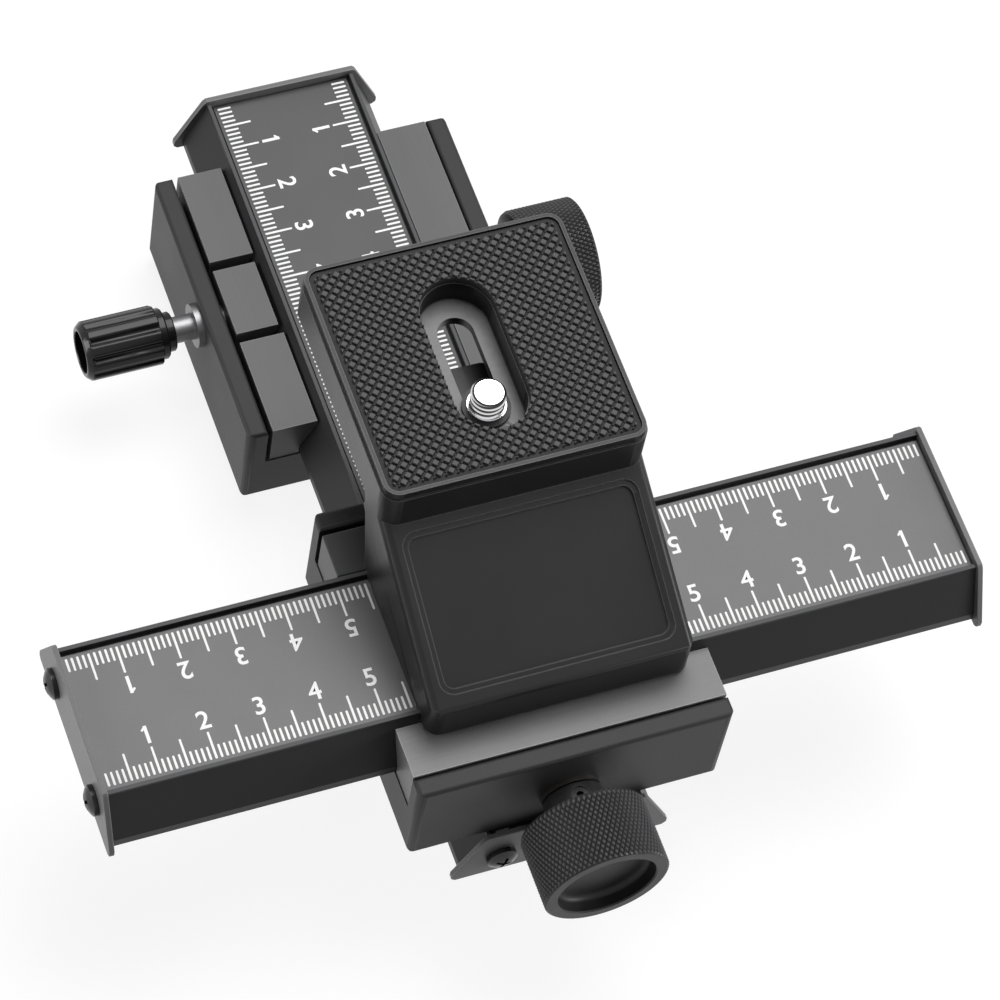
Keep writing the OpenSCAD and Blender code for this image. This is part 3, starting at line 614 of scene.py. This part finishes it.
for name in ("base_block", "upper_block"):
    eased(name, 0.16, body_black, "body_black")
for name in ("base_fixed_guide", "base_rear_guide", "base_front_guide", "base_brake_shoe"):
    eased(name, 0.22, guide_y_black, "guide_black")
eased("upper_fixed_guide", 0.22, guide_x_black, "guide_black")
for name in ("upper_right_guide", "upper_left_guide", "upper_brake_shoe"):
    eased(name, 0.22, guide_rear_black, "guide_black")
eased("platform_casting", 0.25, casting_black, "casting_black", limit=40)
eased("lower_rail", 0.14, rail_y_black, "body_black")
eased("upper_rail", 0.14, rail_x_black, "body_black")
for name in ("lower_front_plate", "lower_back_plate", "upper_left_plate", "upper_right_plate"):
    eased(name, 0.15, plate_black, "plate_black")
print("edges softened")

# %% [markdown]
# ## Finishes on the solids that stay
#
# A solid whose shape is already right keeps it, and only its material slots change. The list below gives
# each one the finish that such a piece has. Most of them are hidden in the photograph.

# %% Paint the remaining solids
wearers = {
    film_y: ["lower_scale"],
    film_x: ["upper_scale"],
    rack_y_steel: ["lower_rack"],
    rack_x_steel: ["upper_rack"],
    nickel: ["base_pinion_shaft", "upper_pinion_shaft", "camera_clip"],
    dull_steel: ["base_lock_screw", "upper_lock_screw", "base_lock_boss", "upper_lock_boss"],
    zinc: ["quarter_bush", "three_eighths_bush", "base_guide_screws", "upper_guide_screws",
           "upper_block_bolts", "platform_bolts"],
    screw_black: ["lower_plate_screws", "upper_plate_screws"],
    shaded_bronze: ["base_pinion_bush", "upper_pinion_bush"],
    bush_plastic: ["camera_bush", "base_knob_grub", "upper_knob_grub"],
}
for material, names in wearers.items():
    for name in names:
        nodes[name].data.materials.clear()
        nodes[name].data.materials.append(material)
        only(nodes[name])
        ops.object.shade_smooth_by_angle(angle=radians(30))
print("painted", sum(len(v) for v in wearers.values()), "solids")

# %% [markdown]
# ## Turned pieces, ring by ring
#
# A turned piece is a disc that is pulled up and resized again and again, each time to the next radius and
# height of its outline. Extruding a face leaves the sides behind it, so the piece is closed from the
# first step to the last, and the number of sides is chosen to suit what is cut into it later.

# %% Pull a disc up through its rings
UPPER_Y = -88.6       # middle of the upper stage, in mm


def turned_form(rings, sides):
    """A closed round piece on the Z axis; each ring is (radius, height) in mm."""
    radius, height = rings[0]
    ops.mesh.primitive_circle_add(vertices=sides, radius=radius * MM, fill_type="NGON",
                                  location=(0, 0, height * MM))
    form = settle(bpy.context.object)
    edit(form)
    for (r0, z0), (r1, z1) in zip(rings, rings[1:]):
        ops.mesh.extrude_region_move(TRANSFORM_OT_translate={"value": (0, 0, (z1 - z0) * MM)})
        ops.transform.resize(value=(r1 / r0, r1 / r0, 1), center_override=(0, 0, z1 * MM))
    return done()


def squeeze(obj, pick, factor):
    """Draw the picked vertices towards the Z axis."""
    edit(obj, pick)
    ops.transform.resize(value=(factor, factor, 1), center_override=(0, 0, 0))
    return done()


def cut(obj, tool, operation="DIFFERENCE"):
    """Combine with another closed piece, which is used up."""
    modify(obj, "BOOLEAN", operation=operation, object=tool, solver="EXACT")
    bpy.data.objects.remove(tool)
    return obj


def upstairs(obj):
    """Take a piece from the base stage to the same place on the upper stage, turned a quarter."""
    return put(obj, (0, UPPER_Y, UPPER_RISE), (0, 0, -90))


print("turning helpers ready")

# %% [markdown]
# ## Knurled drive knobs
#
# A diamond knurl is rolled into the barrel: rows of small four-sided points, longer along the axis than
# round it. With 148 sides and sixteen rows, every second corner is pushed in by a third of a
# millimetre, as on a chequerboard. Cutting each face along its shorter diagonal then leaves the grooves
# between the low corners and a point over each high one. A bump could not show that on the outline. The
# neck has a cross hole for the grub screw, and the outer end a shallow dish with a rounded foot.

# %% One knob, modelled along Z
KNURLS = 74
ROWS = 16
KNOB_R = 11.5
GROOVE_R = 11.16
BARREL = (35.8, 47.7) # the knurled stretch, from the rail's middle outwards
GRUB_HOLE_R = 1.52
GRUB_AT = 32.4        # the cross hole's place on the neck
ROW = (BARREL[1] - BARREL[0]) / (ROWS - 1)


def on_barrel(v):
    return BARREL[0] - 0.1 < v.z / MM < BARREL[1] + 0.1 and v.xy.length > 11.1 * MM


def low_point(v):
    """Every second corner of the barrel, counted round it and along it."""
    around = round(math.atan2(v.x, v.y) / (pi / KNURLS))
    along = round((v.z / MM - BARREL[0]) / ROW)
    return on_barrel(v) and (around + along) % 2 == 1


bore = [(2.55, 41.55), (2.55, 29.9)]
neck = [(5.2, 29.9), (5.5, 30.2), (5.5, 34.5), (5.7, 34.7), (10.3, 34.7), (11.1, 35.0)]
barrel = [(KNOB_R, BARREL[0] + ROW * i) for i in range(ROWS)]
rim = [(11.15, 48.0), (11.0, 48.1), (9.25, 48.1), (9.0, 47.85)]
dish = [(9.0, 46.2), (8.9, 45.7), (8.6, 45.3), (8.1, 45.05), (7.3, 44.95)]
knob = turned_form(bore + neck + barrel + rim + dish, 2 * KNURLS)
squeeze(knob, low_point, GROOVE_R / KNOB_R)
edit(knob, on_barrel)
ops.mesh.quads_convert_to_tris(quad_method="SHORTEST_DIAGONAL")
done()
ops.mesh.primitive_cylinder_add(vertices=24, radius=GRUB_HOLE_R * MM, depth=6 * MM,
                                location=(-5 * MM, 0, GRUB_AT * MM), rotation=(0, radians(90), 0))
cut(knob, settle(bpy.context.object))
tidy(knob, 28)
put(knob, (0, 0, KNOB_Z), (0, 90, 0))
twin = upstairs(copy_of(knob, "upper_knurled_knob"))
dress(knob, "base_knurled_knob", "base_drive", "knob_black", knob_black_x, "base_drive_knob")
dress(twin, "upper_knurled_knob", "upper_drive", "knob_black", knob_black_y, "upper_drive_knob")
print("knurled knob:", len(knob.data.polygons), "faces")

# %% [markdown]
# ## Fluted lock knobs
#
# Each lock knob is glossy plastic with ten broad ribs, a hollow outer end and a stepped shoulder. Again
# the rings are pulled up first; the flutes are then pressed in by drawing five files of corners towards
# the axis, deepest in the middle, so that their shoulders stay round.

# %% One lock knob, modelled along Z
FLUTES = 10
LOCK_SIDES = 160
PER_FLUTE = LOCK_SIDES // FLUTES
LOCK_R = 5.65
LOCK_Z = 15.9         # height of the base lock screw's axis


def beside_flute(v):
    """How many corners away from the middle of the nearest flute."""
    step = round(math.atan2(v.y, v.x) / (2 * pi / LOCK_SIDES)) + PER_FLUTE // 2
    return min(step % PER_FLUTE, -step % PER_FLUTE)


stem_hole = [(1.82, 42.95), (1.82, 34.2)]
shoulder = [(3.5, 34.2), (3.75, 34.45), (3.75, 35.8), (4.6, 35.8), (4.85, 36.1), (4.85, 37.2)]
grip = [(5.45, 37.2), (LOCK_R, 37.4), (LOCK_R, 43.0), (LOCK_R, 50.4), (LOCK_R, 50.7)]
tip = [(5.55, 50.9), (4.85, 51.7), (4.7, 51.8), (4.15, 51.8)]
hollow = [(4.0, 51.65), (4.0, 45.0), (3.8, 44.8)]
lock = turned_form(stem_hole + shoulder + grip + tip + hollow, LOCK_SIDES)
for low, high, part in ((37.1, 50.5, 1.0), (50.6, 50.8, 0.75)):
    for file, depth in enumerate((0.62, 0.58, 0.46, 0.26, 0.08)):
        def in_file(v):
            return low < v.z / MM < high and v.xy.length > 5.2 * MM and beside_flute(v) == file

        squeeze(lock, in_file, 1 - part * depth / LOCK_R)
tidy(lock, 35)
put(lock, (0, 0, LOCK_Z), (0, -90, 0))
twin = upstairs(copy_of(lock, "upper_fluted_knob"))
dress(lock, "base_fluted_knob", "base_lock", "lock_black", lock_black, "base_lock_knob")
dress(twin, "upper_fluted_knob", "upper_lock", "lock_black", lock_black, "upper_lock_knob")
print("fluted knob:", len(lock.data.polygons), "faces")

# %% [markdown]
# ## Threads
#
# A thread is an outline that climbs as it goes round. One tooth of it is drawn by pulling a single
# point from corner to corner, and the Screw modifier sweeps it up by one pitch a turn. The ends are then
# cut flat. The camera screw's thread is trimmed by a chamfered envelope, as a die leaves it.

# %% Draw a chain of edges and sweep it
def chain(points):
    """Edges through (radius, height) points in mm, drawn by extruding one vertex."""
    ops.mesh.primitive_plane_add(size=MM)
    drawn = bpy.context.object
    edit(drawn)
    ops.mesh.merge(type="CENTER")
    ops.transform.translate(value=(points[0][0] * MM, 0, points[0][1] * MM))
    for (r0, z0), (r1, z1) in zip(points, points[1:]):
        step = ((r1 - r0) * MM, 0, (z1 - z0) * MM)
        ops.mesh.extrude_region_move(TRANSFORM_OT_translate={"value": step})
    return done()


def swept(points, pitch, bottom, top):
    """The chain swept up as a thread of eight turns and cut flat at two heights."""
    thread = chain(points)
    modify(thread, "SCREW", axis="Z", angle=2 * pi, screw_offset=pitch * MM, iterations=8,
           steps=40, render_steps=40)
    edit(thread)
    ops.mesh.remove_doubles(threshold=DOUBLE)
    ops.mesh.fill_holes(sides=len(points))
    for height, away in ((bottom, -1), (top, 1)):
        ops.mesh.select_all(action="SELECT")
        ops.mesh.bisect(plane_co=(0, 0, height * MM), plane_no=(0, 0, away), use_fill=True,
                        clear_outer=True)
    ops.mesh.select_all(action="SELECT")
    ops.mesh.delete_loose()
    ops.mesh.select_all(action="SELECT")
    ops.mesh.fill_holes(sides=0)
    done()
    return tidy(thread, 30)


print("thread helpers ready")

# %% The camera screw
QUARTER_PITCH = 1.27
ROOT_R = 2.5
CREST_R = 3.16
HEAD_SIDES = 120


def every_second_side(v):
    """The corners of the thumb head's edge that are pressed in as grips."""
    return 59.3 < v.z / MM < 61.4 and round(math.atan2(v.x, v.y) / (2 * pi / HEAD_SIDES)) % 2


tooth = [(ROOT_R, 67.5), (CREST_R, 67.93), (CREST_R, 68.13), (ROOT_R, 68.56)]
tooth += [(ROOT_R, 67.5 + QUARTER_PITCH)]
screw = swept(tooth, QUARTER_PITCH, 70.9, 75.6)
cut(screw, turned_form([(3.3, 71.25), (3.3, 74.75), (2.55, SCREW_TOP)], 48), "INTERSECT")
thumb = [(2.45, 71.5), (2.45, 61.6), (6.5, 61.6), (6.95, 61.3), (6.95, 59.4), (6.5, 59.0)]
head = turned_form(thumb, HEAD_SIDES)
squeeze(head, every_second_side, 0.965)
ops.mesh.primitive_cube_add(size=MM, scale=(20, 1.5, 1.4), location=(0, 0, 59.6 * MM))
cut(head, settle(bpy.context.object))
cut(screw, head, "UNION")
tidy(screw, 30)
put(screw, (0, SCREW_Y, 0))
dress(screw, "camera_screw_thread", "camera_screw", "bright_steel", screw_nickel, "camera_thumb_screw")
print("camera screw:", len(screw.data.polygons), "faces")

# %% The threads inside the two tripod sockets
EIGHTHS_PITCH = 1.5875
SOCKET_Y = 15         # the sockets lie this far behind and before the base's middle
SOCKET_ENDS = (0.41, 8.53)
sockets = (("quarter_thread", SOCKET_Y, 2.6, 3.25, QUARTER_PITCH),
           ("eighths_thread", -SOCKET_Y, 4.05, 4.85, EIGHTHS_PITCH))
for name, y, crest, wall, pitch in sockets:
    ridge = [(wall, 0.0), (wall, 0.86 * pitch), (crest, 0.53 * pitch), (crest, 0.33 * pitch), (wall, 0.0)]
    inner = swept(ridge, pitch, *SOCKET_ENDS)
    put(inner, (0, y, 0))
    dress(inner, name, "base", "socket_steel", zinc)
    print(name, len(inner.data.polygons), "faces")

# %% [markdown]
# ## Studded pad
#
# The pad is a rubber sheet with a raised field of small square studs, set cornerwise, with a hair-thin
# ridge from the mould in the grooves that run one way. One tile with one stud is cut out of a plane with
# six bisections, its middle is pulled up, and the Array modifier repeats it both ways. The field is turned
# 45 degrees, trimmed by a rounded block, so that studs at its edges are cut off as on the real pad, and
# joined to the sheet. The obround hole is cut through both.

# %% One tile, one field
TILE = 1.5            # pitch of the studs, in mm
STUD = 0.5            # half a stud's foot
STUD_HIGH = 0.5       # height of its straight part
RIDGE = 0.62          # where the ridge's foot lies
RIDGE_HIGH = 0.2      # height of the ridge
COUNT = 44            # tiles along each side of the field


def block_of(width, length, radius, z0, z1):
    """A block with four rounded upright edges, in mm."""
    ops.mesh.primitive_cube_add(size=MM, scale=(width, length, z1 - z0),
                                location=(0, 0, (z0 + z1) / 2 * MM))
    block = settle(bpy.context.object)
    edit(block, mode="EDGE")
    ops.mesh.select_all(action="DESELECT")
    done()
    for e in block.data.edges:
        a, b = (block.data.vertices[i].co for i in e.vertices)
        e.select = abs(a.z - b.z) > 0.1 * MM
    ops.object.mode_set(mode="EDIT")
    ops.mesh.bevel(offset=radius * MM, segments=10, affect="EDGES")
    return done()


ops.mesh.primitive_plane_add(size=TILE * MM)
tile = settle(bpy.context.object)
cuts = [((x, 0, 0), (1, 0, 0)) for x in (-RIDGE, -STUD, STUD, RIDGE)]
cuts += [((0, y, 0), (0, 1, 0)) for y in (-STUD, STUD)]
for at, normal in cuts:
    edit(tile)
    ops.mesh.bisect(plane_co=Vector(at) * MM, plane_no=normal)
    done()
edit(tile, lambda v: abs(v.x) > 0.7 * MM)
ops.transform.translate(value=(0, 0, RIDGE_HIGH * MM))
done()
edit(tile, lambda v: max(abs(v.x), abs(v.y)) < (STUD + 0.01) * MM)
ops.mesh.extrude_region_move(TRANSFORM_OT_translate={"value": (0, 0, STUD_HIGH * MM)})
ops.transform.resize(value=(0.93, 0.93, 1))
ops.mesh.extrude_region_move(TRANSFORM_OT_translate={"value": (0, 0, 0.08 * MM)})
ops.transform.resize(value=(0.86, 0.86, 1))
done()
for step in ((TILE * MM, 0, 0), (0, TILE * MM, 0)):
    modify(tile, "ARRAY", count=COUNT, use_relative_offset=False, use_constant_offset=True,
           constant_offset_displace=step, use_merge_vertices=True, merge_threshold=1e-5)
middle = -TILE * (COUNT - 1) / 2
put(tile, (middle, middle, 0))
put(tile, (0, 0, 0), (0, 0, 45))
edit(tile)
ops.mesh.region_to_loop()
ops.mesh.extrude_region_move(TRANSFORM_OT_translate={"value": (0, 0, -0.7 * MM)})
ops.mesh.edge_face_add()
done()
field = put(tile, (0, 0, PAD_BASE))
print("stud field:", len(field.data.polygons), "faces")

# %% Trim the field and join it to the sheet
cut(field, block_of(44.1, 43.7, 1.05, 75.5, 77), "INTERSECT")
cut(field, block_of(45.9, 45.5, 1.95, 74.6, PAD_BASE), "UNION")
cut(field, block_of(13.6, 31.1, 6.79, 74, 77))
tidy(field, 25)
pad = put(field, (0, PLATFORM_Y, 0))
dress(pad, "studded_pad", "upper_carriage", "pad_rubber", pad_rubber, "platform_pad")
print("pad:", len(pad.data.polygons), "faces")

# %% [markdown]
# ## Keeper plate
#
# Through the slot the photograph shows something black beside the camera screw's neck. What it is can't
# be told, so this piece is a guess: a plate that keeps the screw in the slot. Such a plate would lift with
# the screw and not turn, so it rides on the lifting body. It is longer towards the back.

# %% A rounded plate with a hole for the neck
keeper = block_of(12.4, 19.8, 2.2, 61.65, 62.35)
put(keeper, (0, 3.3, 0))
cut(keeper, turned_form([(2.6, 61), (2.6, 63)], 48))
tidy(keeper, 30)
put(keeper, (0, SCREW_Y, 0))
dress(keeper, "camera_screw_keeper", "screw_lift", "bush_plastic", bush_plastic)
print("keeper:", len(keeper.data.polygons), "faces")

# %% [markdown]
# ## Printed scales
#
# Each rail carries two rows of millimetre marks, numbered in centimetres from both ends. Marks could be
# painted by a pattern in the film's material, but they would blur when the finish is baked, so they are
# thin raised ink: one rounded stroke is modelled, shortened or kept long, and repeated along the rail.
# The numbers are text made into a mesh, with their feet towards the rail's near edge.

# %% One stroke of ink and one number
INK = 0.02            # thickness of the ink, in mm
STROKE = 0.45         # width of a mark
FIGURE = 4.75         # size of the lettering


def stroke(length):
    """A bar with round ends, lying along Y from the edge inwards, modelled at the origin."""
    ops.mesh.primitive_circle_add(vertices=12, radius=STROKE / 2 * MM, fill_type="NGON")
    bar = bpy.context.object
    edit(bar, lambda v: v.y > 1e-6)
    ops.transform.translate(value=(0, (length - STROKE) * MM, 0))
    ops.mesh.select_all(action="SELECT")
    ops.mesh.extrude_region_move(TRANSFORM_OT_translate={"value": (0, 0, INK * MM)})
    return done()


def digit(number):
    """A number as a flat mesh; the 1 gets a flag, which the plain letterform lacks."""
    ops.object.text_add()
    letters = bpy.context.object
    letters.data.body = str(number)
    letters.data.size = FIGURE * MM
    letters.data.align_x = "CENTER"
    letters.data.extrude = INK / 2 * MM
    letters.data.offset = 0.07 * MM
    letters.data.resolution_u = 4
    ops.object.convert(target="MESH")
    letters = bpy.context.object
    edit(letters)
    ops.mesh.remove_doubles(threshold=DOUBLE)
    done()
    if number == 1:
        top = max(v.co.y for v in letters.data.vertices)
        flag = stroke(1.25)
        lift = Matrix.Translation((0, top - STROKE * 0.45 * MM, 0))
        flag.matrix_world = lift @ Matrix.Rotation(radians(132), 4, "Z")
        join([letters, settle(flag)], "figure")
    return letters


def repeated(obj, places, turn):
    """Copies of a flat piece at (x, y) places in mm, turned about Z."""
    twins = []
    spin = Matrix.Rotation(radians(turn), 4, "Z")
    for x, y in places:
        twin = copy_of(obj, obj.name)
        twin.matrix_world = Matrix.Translation((x * MM, y * MM, 0)) @ spin
        twins.append(twin)
    return twins


print("stroke", STROKE, "mm wide and", INK, "mm thick")

# %% Two rows for one rail
EDGE = 12.65          # from the rail's middle line to the marks' outer ends
FOOT = 6.6            # from the middle line to the numbers' feet
LOWER_Y = -38.3       # middle of the lower rail
LOWER_TOP = 22.6      # top of its film
UPPER_TOP = 46.3      # top of the upper rail's film


def scale_print(name, at, turn, body, slot):
    """Marks and numbers of a 160 mm rail lying along X, then turned and put in place."""
    short, long = stroke(2.6), stroke(5.3)
    parts = []
    for side, spin in ((-1, 0), (1, 180)):
        row = [(x, side * (EDGE - STROKE / 2)) for x in range(-79, 80)]
        parts += repeated(short, [p for p in row if p[0] % 5], spin)
        parts += repeated(long, [p for p in row if p[0] % 5 == 0], spin)
        for n in range(1, 9):
            figure = digit(n)
            places = sorted({-80 + 10 * n, 80 - 10 * n})
            parts += repeated(figure, [(x, side * FOOT) for x in places], spin)
            bpy.data.objects.remove(figure)
    for o in (short, long):
        bpy.data.objects.remove(o)
    prints = join(parts, name)
    settle(prints)
    put(prints, at, (0, 0, turn))
    return dress(prints, name, body, slot, ink_white)


lower_print = scale_print("lower_scale_print", (0, LOWER_Y, LOWER_TOP), -90, "lower_carriage", "scale_grey")
scale_print("upper_scale_print", (0, UPPER_Y, UPPER_TOP), 0, "upper_carriage", "scale_light")
print("marks and numbers:", len(lower_print.data.polygons), "faces on a rail")

# %% [markdown]
# ## Floor, world and lamps
#
# The photograph is a cut-out on plain white, lit by large soft lamps. The floor and the world are white
# only where the camera or a reflection sees them, so no extra light falls on the rail, and the floor
# keeps a soft shadow. One broad lamp above and behind gives the tops their sheen; a weaker one from the
# left opens the near sides, and a small one from the right lights the front faces.

# %% Floor
def white_where_seen(tree):
    """1 where the camera, a reflection or a refraction looks, and 0 for other light."""
    path = tree.nodes.new("ShaderNodeLightPath")
    seen = Wire(tree, path.outputs["Is Camera Ray"])
    for other in ("Is Glossy Ray", "Is Transmission Ray"):
        seen = seen.math("MAXIMUM", Wire(tree, path.outputs[other]))
    return seen


ops.mesh.primitive_circle_add(vertices=96, radius=3.0, fill_type="NGON", location=(0, 0, -0.0034))
floor = bpy.context.object
floor.name = "floor"
paper = Finish("floor_paper", (0.2, 0.2, 0.2), 0.9, Specular_IOR_Level=0.0)
paper.set("Base Color", paper.mix(paper.noise(40.0), (0.19, 0.19, 0.19), (0.21, 0.21, 0.21)))
glow = white_where_seen(paper.tree) * 0.85
paper.set("Emission Color", (1, 1, 1, 1))
paper.tree.links.new(glow.socket, paper.shader.inputs["Emission Strength"])
floor.data.materials.append(paper.mat)
print("floor ready")

# %% World
world = bpy.data.worlds.new("studio")
bpy.context.scene.world = world
world.use_nodes = True
sky = world.node_tree
seen = white_where_seen(sky)
tone = node(sky, "Mix", {"data_type": "RGBA"}, {0: seen, 6: (0.08, 0.08, 0.08, 1), 7: (1, 1, 1, 1)}, out=2)
sky.links.new(tone.socket, sky.nodes["Background"].inputs["Color"])
print("world ready")

# %% Lamps
def lamp(name, place, target, size, watts):
    """A rectangular lamp that looks at a target."""
    data = bpy.data.lights.new(name, "AREA")
    data.shape = "RECTANGLE"
    data.size, data.size_y = size
    data.energy = watts
    obj = bpy.data.objects.new(name, data)
    bpy.context.scene.collection.objects.link(obj)
    obj.location = place
    obj.rotation_euler = (Vector(target) - Vector(place)).to_track_quat("-Z", "Y").to_euler()


lamp("lamp_top", (0.22, 0.2, 0.85), (0, -0.04, 0.03), (0.7, 0.6), 7.8)
lamp("lamp_left", (-0.85, 0.12, 0.22), (0, -0.04, 0.03), (0.4, 0.4), 4.0)
lamp("lamp_right", (0.5, -0.36, 0.14), (0.03, -0.11, 0.03), (0.25, 0.2), 1.9)
bpy.context.scene.view_settings.view_transform = "Standard"
print("studio ready")
